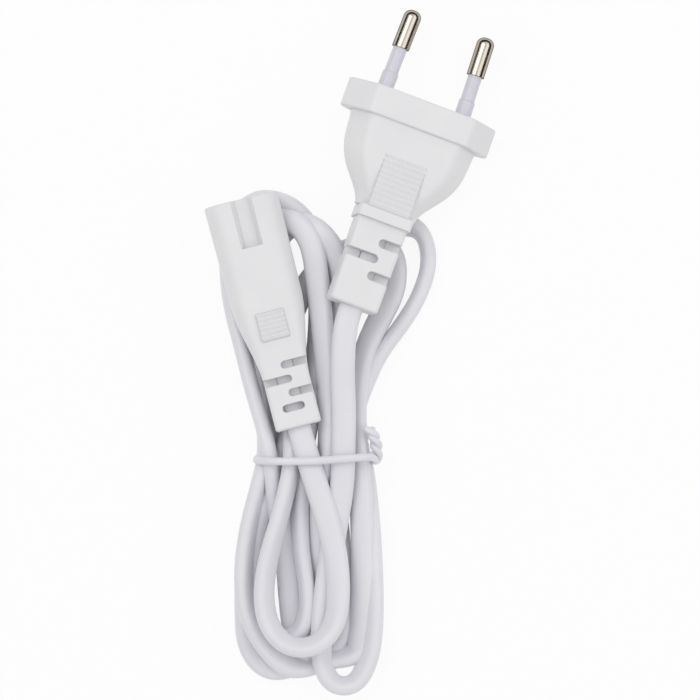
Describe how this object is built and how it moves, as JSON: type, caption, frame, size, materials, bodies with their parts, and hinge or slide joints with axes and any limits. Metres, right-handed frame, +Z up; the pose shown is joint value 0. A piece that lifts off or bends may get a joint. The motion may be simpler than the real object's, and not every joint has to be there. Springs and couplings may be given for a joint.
{
  "type": "power cord",
  "caption": "White flat twin mains lead with a moulded round-pin plug and a figure-eight appliance connector, folded into a loose hank and held by a twisted wire tie.",
  "frame": {"origin": "middle of the footprint, on the floor that the cord lies on", "axes": "+Y up the hank towards the plug, +Z up"},
  "size_m": [0.0649, 0.1525, 0.018],
  "materials": {
    "moulding": "satin white PVC moulding",
    "hard_insert": "white moulded plastic",
    "plated_pin": "polished nickel plate",
    "pin_sleeve": "satin white plastic",
    "contact_metal": "plain",
    "line_insulation": "brown PVC",
    "neutral_insulation": "blue PVC",
    "copper": "bare stranded copper",
    "cord_sheath": "satin white PVC sheath",
    "tie_coating": "white plastic coating on wire"
  },
  "bodies": {
    "root": {"plug_body": "moulding", "connector_body": "moulding", "plug_insert": "hard_insert", "contact_carrier": "hard_insert", "line_pin": "plated_pin", "neutral_pin": "plated_pin", "line_pin_sleeve": "pin_sleeve", "neutral_pin_sleeve": "pin_sleeve", "line_contact": "contact_metal", "neutral_contact": "contact_metal", "plug_line_core": "line_insulation", "connector_line_core": "line_insulation", "plug_neutral_core": "neutral_insulation", "connector_neutral_core": "neutral_insulation", "plug_line_wire": "copper", "plug_neutral_wire": "copper", "connector_line_wire": "copper", "connector_neutral_wire": "copper", "plug_lead": "cord_sheath", "connector_lead": "cord_sheath", "cord_hank": "cord_sheath", "twist_tie": "tie_coating"}
  },
  "joints": []
}
